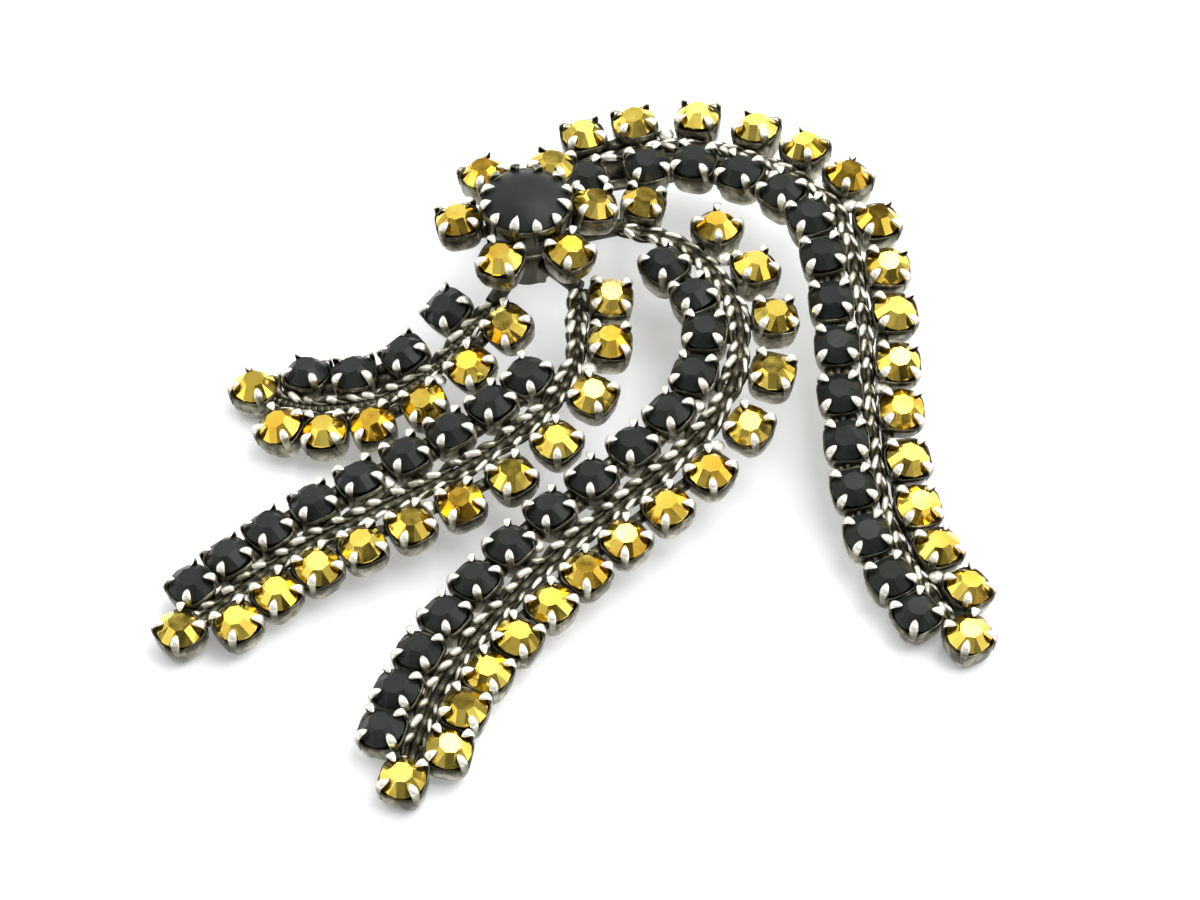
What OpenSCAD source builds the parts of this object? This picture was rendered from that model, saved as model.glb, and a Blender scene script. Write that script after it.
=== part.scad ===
// Flower brooch: a flower of claw-set stones with four curved streamers.
// Each streamer is a row of gold stones and a row of black stones, soldered to a beaded spine.
// Millimetres. +Z is up from the surface that the brooch lies on, +X is to its right seen from
// the front, +Y points away from the viewer.

/* [Small stones] */
// Side of a square claw cup
cup_side = 4.3; // [3.8:0.05:4.6]
// Height of the cup below the stone's widest line
cup_depth = 2.6; // [2:0.1:3.5]
// Thickness of the cup's floor
cup_floor = 0.8; // [0.5:0.1:1.2]
// Chamfer of the cup's corners
cup_chamfer = 0.6; // [0.3:0.05:1]
// Radius of a stone at its widest line
stone_r = 1.93; // [1.7:0.01:2]
// Radius of a stone's flat table
table_r = 1.0; // [0.8:0.05:1.4]
// Height of a stone above its widest line
crown_h = 1.1; // [0.6:0.05:1.3]
// Depth of a stone below its widest line
pavilion_h = 1.5; // [1:0.1:1.7]
// Room between a stone and its cup
seat_gap = 0.06; // [0.05:0.01:0.1]
// Width of a claw
claw_w = 0.75; // [0.5:0.05:1]
// Thickness of a claw
claw_t = 0.4; // [0.3:0.05:0.6]
// Height of a claw's tip above the stone's widest line
claw_h = 1.2; // [0.8:0.05:1.4]
// Turn of the stones out of line, as a hand-set row has
wobble = 4; // [0:0.5:8]
// Lean of each row away from the spine
splay = 5; // [0:1:15]

/* [Spine] */
// Radius of the spine's beads
bead_r = 0.85; // [0.6:0.05:1]
// Radius of the wire that carries the beads
wire_r = 0.5; // [0.4:0.05:0.6]
// Length of a bead
bead_long = 1.2; // [0.8:0.1:1.6]
// Distance from bead to bead
bead_step = 1.95; // [1.6:0.05:2.4]
// Depth of the spine's axis below the stones' widest line
spine_drop = 0.7; // [0:0.1:1.5]

/* [Flower] */
// Place of the flower's centre, left to right
flower_x = -4.9; // [-8:0.1:-2]
// Place of the flower's centre, front to back
flower_y = 20.9; // [18:0.1:26]
// Height of the centre stone's widest line
flower_z = 15.5; // [13:0.1:18]
// Radius of the centre stone
centre_r = 4; // [3.5:0.1:4.5]
// Height of the centre stone's dome
dome_h = 1.5; // [1:0.1:2.5]
// Depth of the centre stone's collar
collar_h = 4.6; // [3.5:0.1:5.5]
// Number of prongs round the centre stone
prongs = 12; // [8:1:16]
// Number of petals
petals = 6; // [5:1:6]
// Distance from the flower's centre to a petal
petal_ring = 6.5; // [6.4:0.1:8]
// Direction of the first petal
petal_turn = 9; // [0:1:60]
// Drop of the petals below the centre stone
petal_drop = 1.5; // [0:0.1:2.5]
// Outward lean of the petals
petal_lean = 6; // [0:1:20]
// Radius of the post under the flower
post_r = 2.0; // [1.6:0.1:3]

/* [Pin] */
// Length of the pin's plate
pin_length = 23.6; // [20:0.1:26]
// Width of the pin's plate
pin_width = 3; // [2.4:0.1:4]
// Height of the plate's upper face
pin_top = 6.4; // [6:0.1:6.6]
// Thickness of the plate
pin_plate = 1.0; // [0.8:0.1:1.5]
// Thickness of the pin's wire
pin_wire = 1.0; // [0.8:0.1:1.2]
// Height of the wire's axis
wire_z = 4.2; // [3:0.1:4.5]
// Place of the plate's middle, left to right
pin_x = 2.6; // [1:0.1:4]
// Place of the plate's middle, front to back
pin_y = 33.6; // [33:0.1:34.5]
// Turn of the pin, seen from above
pin_turn = 11; // [5:1:13]

/* [Hidden] */
// Spine points, from the flower to the tip. Columns: x, y, height of the stones, width from row to row
X = 0;
Y = 1;
Z = 2;
APART = 3;
arch_path = [
  [-2, 32, 9.5, 5.4],
  [11.5, 34.5, 10, 6],
  [23.5, 26, 11.5, 6],
  [26.5, 13, 10, 5.8],
  [27, 2.5, 7.5, 5.5],
  [29, -10, 4.5, 5.5],
  [35.8, -22.2, 2.8, 5.8]
];
sweep_path = [
  [4, 23.4, 10, 6.2],
  [10.5, 21, 9.5, 7],
  [15, 11, 10, 6.7],
  [11.5, -0.5, 8, 7.3],
  [-3.5, -15, 5.5, 7.3],
  [-12, -27, 4.3, 6.5],
  [-15.6, -38.4, 2.8, 6.2]
];
middle_path = [
  [0, 16, 9.5, 6.2],
  [-1, 5.5, 8.5, 6.3],
  [-8.5, -2.5, 7, 8],
  [-25.5, -12, 4.7, 6.5],
  [-36.8, -21.3, 2.8, 6.1]
];
short_path = [
  [-8, 14, 9.5, 6],
  [-15.5, 7.3, 5.7, 6.2],
  [-24, 5.9, 4, 7.1],
  [-31.7, 9.5, 2.8, 6.9]
];

// Rows of stones along a spine. Columns: place of the first stone, spacing, change of the spacing, stones
FIRST = 0;
STEP = 1;
CHANGE = 2;
COUNT = 3;
arch_gold = [3.3, 5, 0.007, 15];
arch_black = [2, 6.2, -0.072, 15];
sweep_gold = [1.6, 5.6, -0.034, 15];
sweep_black = [7.4, 6.35, -0.102, 14];
middle_gold = [1.6, 5.1, -0.02, 11];
middle_black = [12.7, 5.5, -0.09, 9];
short_gold = [1.2, 5.4, -0.24, 6];
short_black = [3.4, 6.4, 0.05, 4];

// Distance from a tip stone to the end of its spine
tip_back = 1.5;
// The gold row is on the left of the way to the tip, the black row on the right
LEFT = 1;
RIGHT = -1;
// Room between a streamer's root and the flower's post
joint_gap = 0.1;
// Radius of a streamer's root
root_r = 0.8;
// Foot of the post, on the pin's plate
post_foot = pin_top + 0.1;
// Width of the pin's hinge and catch
hinge_w = 2.6;
// Lower end of the catch
catch_z = 3.4;
// Width of the plate's tongue, its front end under the post and the middle of its leg
tongue_w = 3.6;
tongue_y = 19.6;
leg_y = 28.2;
// Points worked out between two points of a path
fine = 10;
bore_r = stone_r + seat_gap;
// Height of a cup's rim above the stone's widest line
cup_rim = 0.1;
// How far a claw reaches in over the stone's edge
claw_over = 0.55;
// Wall of the collar round the centre stone
collar_wall = 0.3;
collar_r = centre_r + collar_wall;
// Prongs: lower end above the collar's foot, where they bend, their top and their reach inward
prong_foot = 0.5;
prong_bend = 0.4;
prong_h = 1.5;
prong_reach = 1.3;
// Bars between the collar and the petal cups, and how far they run into both
arm_w = 1.6;
arm_h = 0.6;
arm_sink = 0.45;
// Short bars between the cups and the spine, and how far they run into a cup's wall
bar_w = 1.2;
bar_h = 1;
bar_sink = 0.2;
// How far the spine's wire runs into the tip's cup, and the post into the collar
wire_sink = 0.3;
post_sink = 0.5;
flower_at = [flower_x, flower_y, flower_z];
petal_z = -petal_drop;

// Node to draw

gold = [0.85, 0.68, 0.15];
black = [0.08, 0.08, 0.1];
silver = [0.6, 0.6, 0.56];

// A path's point, carried on in a straight line past both ends
function knot(path, i) =
  i < 0 ? 2 * path[0] - path[1] :
  i >= len(path) ? 2 * path[len(path) - 1] - path[len(path) - 2] :
  path[i];

// Smooth curve through the points, at u from 0 to the last point's number
function along(path, u) =
  let (
    i = min(floor(u), len(path) - 2),
    t = u - i,
    a = knot(path, i - 1),
    b = knot(path, i),
    c = knot(path, i + 1),
    d = knot(path, i + 2)
  )
  0.5 * (2 * b + (c - a) * t + (2 * a - 5 * b + 4 * c - d) * t * t + (3 * b - a - 3 * c + d) * t * t * t);

function place(row) = [row[X], row[Y], row[Z]];

// Table of the way covered against u
function covered(path) =
  [for (
    k = 0, way = 0;
    k <= fine * (len(path) - 1);
    k = k + 1,
    way = way + norm(place(along(path, k / fine)) - place(along(path, (k - 1) / fine)))
  ) [way, k / fine]];

function full_way(path) = let (table = covered(path)) table[len(table) - 1][0];

// Point and row width at a distance from the flower's end
function at_way(path, way) = along(path, lookup(way, covered(path)));

function direction(path, way) = place(at_way(path, way + 1)) - place(at_way(path, way - 1));

// Where stone i of a row is, measured along the spine
function stone_way(row, i) = row[FIRST] + row[STEP] * i + row[CHANGE] * i * i;

// Moves its children to a point of the spine, x along it and y to its left
module on_spine(path, way) {
  p = at_way(path, way);
  d = direction(path, way);
  translate(place(p))
    rotate([0, -atan2(d[Z], norm([d[X], d[Y]])), atan2(d[Y], d[X])])
      children();
}

// Moves its children to each stone's place in a row
module in_row(path, row, side) {
  for (i = [0 : row[COUNT] - 1]) {
    way = stone_way(row, i);
    on_spine(path, way)
      translate([0, side * at_way(path, way)[APART] / 2, 0])
        rotate([-side * splay, 0, wobble * sin(137 * i)])
          children();
  }
}

module at_tip(path) {
  on_spine(path, full_way(path) - tip_back)
    children();
}

// Moves its children to each petal's place
module on_petals() {
  for (i = [0 : petals - 1])
    translate(flower_at)
      rotate([0, 0, petal_turn + 360 / petals * i])
        translate([petal_ring, 0, petal_z])
          rotate([0, petal_lean, 0])
            children();
}

module chamfered_square(side, chamfer) {
  s = side / 2;
  c = s - chamfer;
  polygon([[s, -c], [s, c], [c, s], [-c, s], [-s, c], [-s, -c], [-c, -s], [c, -s]]);
}

// Two claws, one strip of metal that comes up at opposite corners and bends over the stone
module claw_pair() {
  out = cup_side / 2 * sqrt(2) - cup_chamfer * sqrt(2) / 2 + claw_t / 2;
  foot = -cup_depth + cup_floor / 4;
  tip_in = stone_r - claw_over;
  rotate([90, 0, 0])
    translate([0, 0, -claw_w / 2])
      linear_extrude(claw_w)
        polygon([
          [-out, foot],
          [out, foot],
          [out, claw_h * 0.45],
          [tip_in + claw_t * 0.6, claw_h],
          [tip_in, claw_h * 0.82],
          [out - claw_t, claw_h * 0.2],
          [out - claw_t, foot + cup_floor / 2],
          [-out + claw_t, foot + cup_floor / 2],
          [-out + claw_t, claw_h * 0.2],
          [-tip_in, claw_h * 0.82],
          [-tip_in - claw_t * 0.6, claw_h],
          [-out, claw_h * 0.45]
        ]);
}

// Square cup with a claw at each corner, its origin at the stone's widest line
module claw_cup() {
  difference() {
    translate([0, 0, -cup_depth])
      linear_extrude(cup_depth + cup_rim)
        chamfered_square(cup_side, cup_chamfer);
    translate([0, 0, -cup_depth + cup_floor])
      rotate([0, 0, 22.5])
        cylinder(h = cup_depth, r = bore_r, $fn = 8);
  }
  rotate([0, 0, 45])
    claw_pair();
  rotate([0, 0, -45])
    claw_pair();
}

// Eight-sided cut stone with a flat table
module cut_stone() {
  rotate([0, 0, 22.5])
    rotate_extrude($fn = 8)
      polygon([[0, -pavilion_h], [stone_r, 0], [table_r, crown_h], [0, crown_h]]);
}

// Large black stone with a low dome
module dome_stone() {
  // Radius of the sphere that the dome is cut from
  dome_r = (centre_r * centre_r + dome_h * dome_h) / (2 * dome_h);
  intersection() {
    translate([0, 0, dome_h - dome_r])
      sphere(r = dome_r, $fn = 96);
    cylinder(h = 2 * dome_h, r = centre_r, $fn = 48);
  }
  translate([0, 0, -pavilion_h])
    cylinder(h = pavilion_h, r = centre_r, $fn = 48);
}

// Round collar with prongs that bend over the dome
module prong_collar() {
  foot = -collar_h;
  difference() {
    translate([0, 0, foot])
      cylinder(h = collar_h, r = collar_r, $fn = 48);
    translate([0, 0, -pavilion_h - seat_gap])
      cylinder(h = pavilion_h + 1, r = centre_r + seat_gap, $fn = 48);
  }
  for (i = [0 : prongs - 1])
    rotate([0, 0, 360 / prongs * (i + 0.5)])
      rotate([90, 0, 0])
        translate([0, 0, -claw_w / 2])
          linear_extrude(claw_w)
            polygon([
              [collar_r - claw_t / 2, foot + prong_foot],
              [collar_r + claw_t / 2, foot + prong_foot],
              [collar_r + claw_t / 2, prong_bend],
              [collar_r - prong_reach + claw_t / 2, prong_h],
              [collar_r - prong_reach, prong_h - claw_t * 0.75],
              [collar_r - claw_t / 2, prong_bend]
            ]);
}

// Straight wire from point a to point b
module rod(a, b, r) {
  d = b - a;
  translate(a)
    rotate([0, 90 - atan2(d[2], norm([d[0], d[1]])), atan2(d[1], d[0])])
      cylinder(h = norm(d), r = r, $fn = 6);
}

// Point of the spine's axis
function axis_point(path, way) = place(at_way(path, way)) - [0, 0, spine_drop];

// Beaded wire between the rows, each bead a short six-sided rod, with a root that runs to the post
module spine(path) {
  last = full_way(path) - tip_back - cup_side / 2 + wire_sink;
  beads = floor(last / bead_step);
  start = axis_point(path, 0);
  post_axis = [flower_x, flower_y, start[2]];
  inward = (post_axis - start) / norm(post_axis - start);
  rod(start, post_axis - inward * (post_r + joint_gap), root_r);
  for (k = [0 : beads - 1])
    rod(
      axis_point(path, (k + 0.5) * bead_step - bead_long / 2),
      axis_point(path, (k + 0.5) * bead_step + bead_long / 2),
      bead_r
    );
  for (k = [0 : beads - 1])
    rod(axis_point(path, k * bead_step), axis_point(path, (k + 1) * bead_step), wire_r);
  rod(axis_point(path, beads * bead_step - wire_sink), axis_point(path, last), wire_r);
}

// Short bar that solders a cup to the spine
module solder_bars(path, row, side) {
  for (i = [0 : row[COUNT] - 1]) {
    way = stone_way(row, i);
    reach = at_way(path, way)[APART] / 2 - cup_side / 2 + bar_sink;
    on_spine(path, way)
      translate([0, side * reach / 2, -cup_depth / 2])
        cube([bar_w, reach, bar_h], center = true);
  }
}

// All the soldered metal of one streamer
module streamer(path, gold_row, black_row) {
  color(silver) {
    in_row(path, gold_row, LEFT)
      claw_cup();
    in_row(path, black_row, RIGHT)
      claw_cup();
    at_tip(path)
      claw_cup();
    spine(path);
    solder_bars(path, gold_row, LEFT);
    solder_bars(path, black_row, RIGHT);
  }
}

// The gold stones of one streamer, the one at its tip included
module gold_stones(path, row) {
  color(gold) {
    in_row(path, row, LEFT)
      cut_stone();
    at_tip(path)
      cut_stone();
  }
}

module black_stones(path, row) {
  color(black)
    in_row(path, row, RIGHT)
      cut_stone();
}

// Collar, petal cups and the post under them
module flower_setting() {
  post_top = flower_z - collar_h + post_sink;
  color(silver) {
    translate(flower_at)
      prong_collar();
    on_petals()
      claw_cup();
    translate(flower_at)
      for (i = [0 : petals - 1])
        rotate([0, 0, petal_turn + 360 / petals * i])
          translate([collar_r - arm_sink, -arm_w / 2, petal_z - cup_depth + (cup_floor - arm_h) / 2])
            cube([petal_ring - cup_side / 2 - collar_r + 2 * arm_sink, arm_w, arm_h]);
    translate([flower_x, flower_y, post_foot])
      cylinder(h = post_top - post_foot, r = post_r, $fn = 32);
  }
}

module centre_stone() {
  color(black)
    translate(flower_at)
      dome_stone();
}

module petal_stones() {
  color(gold)
    on_petals()
      cut_stone();
}

module arch_setting() {
  streamer(arch_path, arch_gold, arch_black);
}

module arch_gold_stones() {
  gold_stones(arch_path, arch_gold);
}

module arch_black_stones() {
  black_stones(arch_path, arch_black);
}

module sweep_setting() {
  streamer(sweep_path, sweep_gold, sweep_black);
}

module sweep_gold_stones() {
  gold_stones(sweep_path, sweep_gold);
}

module sweep_black_stones() {
  black_stones(sweep_path, sweep_black);
}

module middle_setting() {
  streamer(middle_path, middle_gold, middle_black);
}

module middle_gold_stones() {
  gold_stones(middle_path, middle_gold);
}

module middle_black_stones() {
  black_stones(middle_path, middle_black);
}

module short_setting() {
  streamer(short_path, short_gold, short_black);
}

module short_gold_stones() {
  gold_stones(short_path, short_gold);
}

module short_black_stones() {
  black_stones(short_path, short_black);
}

// Plain plate with a hinge, a catch and the pin's wire between them, and a tongue that runs in under
// the post. The hinge and the tongue's leg stand on the surface
module pin_back() {
  half = pin_length / 2;
  plate_z = pin_top - pin_plate;
  // The blocks and the leg run up into the plate
  block_top = pin_top - pin_plate / 2;
  // Where the tongue reaches the middle of the plate
  meet_y = pin_y + (flower_x - pin_x) * tan(pin_turn);
  color(silver) {
    translate([pin_x, pin_y, 0])
      rotate([0, 0, pin_turn]) {
        translate([-half, -pin_width / 2, plate_z])
          cube([pin_length, pin_width, pin_plate]);
        translate([-half, -pin_width / 2, 0])
          cube([hinge_w, pin_width, block_top]);
        translate([half - hinge_w, -pin_width / 2, catch_z])
          cube([hinge_w, pin_width, block_top - catch_z]);
        translate([-half + hinge_w / 2, 0, wire_z])
          rotate([0, 90, 0])
            cylinder(h = pin_length - hinge_w, r = pin_wire / 2, $fn = 24);
      }
    translate([flower_x - tongue_w / 2, tongue_y, plate_z])
      cube([tongue_w, meet_y - tongue_y, pin_plate]);
    translate([flower_x - tongue_w / 2, leg_y - tongue_w / 2, 0])
      cube([tongue_w, tongue_w, block_top]);
  }
}

flower_setting();
centre_stone();
petal_stones();
arch_setting();
arch_gold_stones();
arch_black_stones();
sweep_setting();
sweep_gold_stones();
sweep_black_stones();
middle_setting();
middle_gold_stones();
middle_black_stones();
short_setting();
short_gold_stones();
short_black_stones();
pin_back();
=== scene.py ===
"""Flower brooch with four streamers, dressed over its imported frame.

The add-on's operators build the cut stones, the claw cups, the twisted wires, the flower, the pin
and the stage. Sizes are in metres, in the frame of the CAD model.
"""

import math

import bmesh
import bpy
from bpy.props import FloatProperty, FloatVectorProperty, IntProperty, PointerProperty
from mathutils import Matrix, Vector


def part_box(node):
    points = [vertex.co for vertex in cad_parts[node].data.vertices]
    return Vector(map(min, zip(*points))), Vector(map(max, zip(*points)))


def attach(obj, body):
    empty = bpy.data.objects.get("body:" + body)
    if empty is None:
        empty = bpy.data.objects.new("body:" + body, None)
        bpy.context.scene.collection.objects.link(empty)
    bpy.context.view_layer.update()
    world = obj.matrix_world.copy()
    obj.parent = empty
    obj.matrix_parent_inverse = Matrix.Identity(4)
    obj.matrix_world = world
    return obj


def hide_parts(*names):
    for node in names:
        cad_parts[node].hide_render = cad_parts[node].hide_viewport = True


bl_info = {
    "name": "Flower Brooch",
    "version": (1, 0, 0),
    "blender": (4, 5, 0),
    "location": "3D View > Sidebar > Brooch",
    "description": "Builds a flower brooch of claw-set stones on its CAD frame",
    "category": "Object",
}

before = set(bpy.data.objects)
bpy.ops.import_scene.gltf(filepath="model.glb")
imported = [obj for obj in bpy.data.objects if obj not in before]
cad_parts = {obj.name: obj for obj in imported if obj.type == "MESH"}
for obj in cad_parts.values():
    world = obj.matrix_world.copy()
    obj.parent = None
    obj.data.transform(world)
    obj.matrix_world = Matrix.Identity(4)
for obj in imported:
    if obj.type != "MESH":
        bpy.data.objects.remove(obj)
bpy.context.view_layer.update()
MM = 0.001
# Less than the distance between two levels of a template
TINY = 0.01 * MM
# The second of two blocks that overlap is this much smaller, so that no faces share a plane
INSET = 0.05 * MM

# Spines from the flower to the tips, the same routes as the CAD model's, in millimetres.
# Columns of a path: x, y, height of the stones, width from row to row.
# Columns of a row: place of the first stone, spacing, change of the spacing, number of stones.
STREAMERS = {
    "arch": {
        "path": (
            (-2, 32, 9.5, 5.4),
            (11.5, 34.5, 10, 6),
            (23.5, 26, 11.5, 6),
            (26.5, 13, 10, 5.8),
            (27, 2.5, 7.5, 5.5),
            (29, -10, 4.5, 5.5),
            (35.8, -22.2, 2.8, 5.8),
        ),
        "gold": (3.3, 5, 0.007, 15),
        "black": (2, 6.2, -0.072, 15),
    },
    "sweep": {
        "path": (
            (4, 23.4, 10, 6.2),
            (10.5, 21, 9.5, 7),
            (15, 11, 10, 6.7),
            (11.5, -0.5, 8, 7.3),
            (-3.5, -15, 5.5, 7.3),
            (-12, -27, 4.3, 6.5),
            (-15.6, -38.4, 2.8, 6.2),
        ),
        "gold": (1.6, 5.6, -0.034, 15),
        "black": (7.4, 6.35, -0.102, 14),
    },
    "middle": {
        "path": (
            (0, 16, 9.5, 6.2),
            (-1, 5.5, 8.5, 6.3),
            (-8.5, -2.5, 7, 8),
            (-25.5, -12, 4.7, 6.5),
            (-36.8, -21.3, 2.8, 6.1),
        ),
        "gold": (1.6, 5.1, -0.02, 11),
        "black": (12.7, 5.5, -0.09, 9),
    },
    "short": {
        "path": (
            (-8, 14, 9.5, 6),
            (-15.5, 7.3, 5.7, 6.2),
            (-24, 5.9, 4, 7.1),
            (-31.7, 9.5, 2.8, 6.9),
        ),
        "gold": (1.2, 5.4, -0.24, 6),
        "black": (3.4, 6.4, 0.05, 4),
    },
}
# The gold row is on the left of the way to the tip, the black row on the right
LEFT = 1
RIGHT = -1
ROWS = (("gold", LEFT), ("black", RIGHT))
WOBBLE = math.radians(4)
WOBBLE_STEP = math.radians(137)
SPLAY = math.radians(5)
TIP_BACK = 1.5 * MM
# Lean of a stone in its cup, and its steps from one stone to the next about both axes
LEAN = math.radians(6)
LEAN_STEPS = (2.1, 3.7)
# How far the middle of a row may lie from the middle of its CAD solids
SEAT_TOLERANCE = 0.3 * MM
# Points worked out between two points of a path
FINE = 10
# Straight rods in a spine's core
CORE_RODS = 40

PETALS = 6
PETAL_RING = 6.5 * MM
PETAL_TURN = math.radians(9)
PETAL_LEAN = math.radians(6)
PETAL_DROP = 1.5 * MM


def measure(name, millimetres, description):
    """Setting for a size, given in millimetres."""
    return FloatProperty(name=name, description=description, default=millimetres * MM, unit="LENGTH")


def angle(name, degrees, description):
    """Setting for an angle, given in degrees."""
    return FloatProperty(name=name, description=description, default=math.radians(degrees), unit="ROTATION")


def number(name, value, description):
    """Setting for a number."""
    return FloatProperty(name=name, description=description, default=value)


def colour(name, value, description):
    """Setting for a colour."""
    return FloatVectorProperty(name=name, description=description, default=value, subtype="COLOR")


class BROOCH_PG_stones(bpy.types.PropertyGroup):
    """Sizes of the cut stones"""

    radius: measure("Stone radius", 2.05, "From a stone's middle to its edge")
    table: measure("Table radius", 1.02, "From a stone's middle to its table's edge")
    crown: measure("Crown height", 1.08, "From a stone's edge up to its table")
    girdle: measure("Girdle", 0.12, "Height of the band at a stone's edge")
    pavilion: measure("Pavilion depth", 1.4, "From a stone's edge down to its point")
    dome: measure("Dome height", 1.5, "Height of the centre stone's dome")


class BROOCH_PG_metal(bpy.types.PropertyGroup):
    """Sizes of the cups, claws and wires"""

    cup_side: measure("Cup side", 4.3, "Side of a square cup")
    cup_corner: measure("Cup corner", 1.5, "Bevel of a cup's corners")
    cup_depth: measure("Cup depth", 2.6, "From a stone's edge down to the cup's foot")
    cup_deep: measure("High cup depth", 3, "The same for the cups high above the surface")
    high_cup: measure("High cup", 8.5, "Height of a stone past which its cup is a deep one")
    cup_rim: measure("Cup rim", 0.2, "From a stone's edge down to the cup's rim")
    cup_wall: measure("Cup wall", 0.17, "Thickness of a cup's wall")
    claw_width: measure("Claw width", 0.79, "Width of a claw at its widest")
    claw_thickness: measure("Claw thickness", 0.34, "Thickness of a claw")
    strand: measure("Strand radius", 0.37, "Radius of one strand of the wires")
    lay: measure("Lay of the wires", 4, "Length of one turn of a twisted wire")
    core: measure("Core radius", 0.55, "Radius of the wire under the twisted ones")
    root: measure("Root radius", 0.8, "Radius of a streamer's root under the flower")
    strut: measure("Strut radius", 0.5, "Radius of the rods from a spine to its cups")
    link: measure("Link radius", 0.6, "Radius of the wires that join the cups")
    short_gap: measure("Short gap", 5.45, "Distance of two stones up to which wires join their cups")
    solder: measure("Solder radius", 0.8, "Radius of a round of solder")
    collar: measure("Collar height", 4.6, "From the centre stone's edge down to the collar's foot")
    post: measure("Post radius", 2.4, "Radius of the post under the flower")
    prongs: IntProperty(name="Prongs", description="Prongs round the centre stone", default=12, min=6)


class BROOCH_PG_pin(bpy.types.PropertyGroup):
    """Sizes of the pin"""

    width: measure("Plate width", 3, "Width of the pin's plate")
    plate: measure("Plate thickness", 1, "Thickness of the pin's plate")
    length: measure("Plate length", 23.6, "From the hinge to the catch")
    hinge: measure("Hinge length", 2.6, "Length of the hinge")
    height: measure("Wire height", 4.2, "Height of the wire above the surface")
    wire: measure("Wire radius", 0.45, "Radius of the wire")
    tongue: measure("Tongue width", 3.6, "Width of the strip that runs in under the flower")
    leg: measure("Leg place", 28.2, "Place of the leg, front to back")
    middle_x: measure("Middle, across", 2.6, "Middle of the plate, left to right")
    middle_y: measure("Middle, along", 33.6, "Middle of the plate, front to back")
    turn: angle("Turn", 11, "Turn of the plate behind the flower and the arch")


class BROOCH_PG_colours(bpy.types.PropertyGroup):
    """Colours of the finishes"""

    gold: colour("Gold", (0.97, 0.75, 0.15), "Coating of the gold stones")
    amber: colour("Amber", (0.9, 0.5, 0.04), "Darker coating of some gold stones")
    black: colour("Black", (0.0158, 0.0190, 0.0164), "Glass of the black stones")
    # Silver and the dull plating below also colour the painted highlights on the metal and the painted
    # reflection of the floor on the cup walls
    silver: colour("Silver", (1.0, 0.97, 0.87), "Polished plating")
    dull: colour("Dull plating", (0.36, 0.345, 0.245), "Plating between polished and dark")
    patina: colour("Patina", (0.074, 0.070, 0.049), "Dark plating in the recesses")
    floor: colour("Floor", (0.895, 0.895, 0.92), "Pale surface")


class BROOCH_PG_stage(bpy.types.PropertyGroup):
    """Camera and light"""

    elevation: angle("Elevation", 49, "Height of the camera over the surface, as an angle")
    distance: measure("Distance", 420, "From the camera to what it aims at")
    lens: number("Lens", 136.5, "Focal length in millimetres")
    watts: number("Softbox power", 3.1, "Power of the softbox, in watts")
    bright: number("Bright side", 1.55, "Light of the room across from the camera")
    dark: number("Dark side", 0.37, "Light of the room behind the camera")
    dark_height: angle("Dark side's height", 40, "Height of the dark side's middle over the horizon")
    glow: number("Floor glow", 0.225, "Light that comes up through the surface")


# Routes of the streamers


def knot(path, i):
    """A path's point, carried on in a straight line past both ends."""
    if i < 0:
        return 2 * path[0] - path[1]
    if i >= len(path):
        return 2 * path[-1] - path[-2]
    return path[i]


def along(path, u):
    """Smooth curve through a path's points, at u from 0 to the last point's number."""
    i = min(int(u), len(path) - 2)
    t = u - i
    a, b, c, d = (knot(path, i + k) for k in (-1, 0, 1, 2))
    return 0.5 * (2 * b + (c - a) * t + (2 * a - 5 * b + 4 * c - d) * t**2 + (3 * b - a - 3 * c + d) * t**3)


class Route:
    """A streamer's spine, with places measured along it in metres."""

    def __init__(self, name):
        self.path = [Vector(row) * MM for row in STREAMERS[name]["path"]]
        steps = FINE * (len(self.path) - 1)
        points = [along(self.path, k / FINE).to_3d() for k in range(steps + 1)]
        self.ways = [0.0]
        for a, b in zip(points, points[1:]):
            self.ways.append(self.ways[-1] + (b - a).length)
        self.full = self.ways[-1]

    def at(self, way):
        """Point and row width at a distance from the flower's end."""
        way = min(max(way, 0.0), self.full)
        k = max(i for i, w in enumerate(self.ways) if w <= way)
        if k == len(self.ways) - 1:
            return along(self.path, k / FINE)
        part = (way - self.ways[k]) / (self.ways[k + 1] - self.ways[k])
        return along(self.path, (k + part) / FINE)

    def width(self, way):
        """Distance from row to row."""
        return self.at(way)[3]

    def seat(self, way):
        """Place on the spine, x along it, y to its left and z out of the stones' plane."""
        d = self.at(way + MM).to_3d() - self.at(way - MM).to_3d()
        heading = Matrix.Rotation(math.atan2(d.y, d.x), 4, "Z")
        slope = Matrix.Rotation(-math.atan2(d.z, math.hypot(d.x, d.y)), 4, "Y")
        return Matrix.Translation(self.at(way).to_3d()) @ heading @ slope

    def wires_end(self):
        """Where the spine's wires stop, just inside the tip's cup."""
        return self.full - TIP_BACK - bpy.context.scene.brooch_metal.cup_side / 2 + 0.3 * MM


def row_ways(name, row):
    """Where each stone of a row is, measured along its spine."""
    first, step, change, count = STREAMERS[name][row]
    return [(first + step * i + change * i * i) * MM for i in range(count)]


def row_seats(name, row, side):
    """Place of each stone of a row."""
    route = Route(name)
    seats = []
    for i, way in enumerate(row_ways(name, row)):
        out = Matrix.Translation((0, side * route.width(way) / 2, 0))
        turn = Matrix.Rotation(WOBBLE * math.sin(WOBBLE_STEP * i), 4, "Z")
        lean = Matrix.Rotation(-side * SPLAY, 4, "X")
        seats.append(route.seat(way) @ out @ turn @ lean)
    return seats


def tip_seat(name):
    """Place of the stone at a streamer's tip."""
    route = Route(name)
    return route.seat(route.full - TIP_BACK)


def set_by_hand(seats):
    """The seats with a little lean of each stone in its cup."""
    across, sideways = LEAN_STEPS
    leaning = []
    for i, seat in enumerate(seats):
        tilt = Matrix.Rotation(LEAN * math.sin(across * i), 4, "X")
        leaning.append(seat @ tilt @ Matrix.Rotation(LEAN * math.cos(sideways * i), 4, "Y"))
    return leaning


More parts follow.
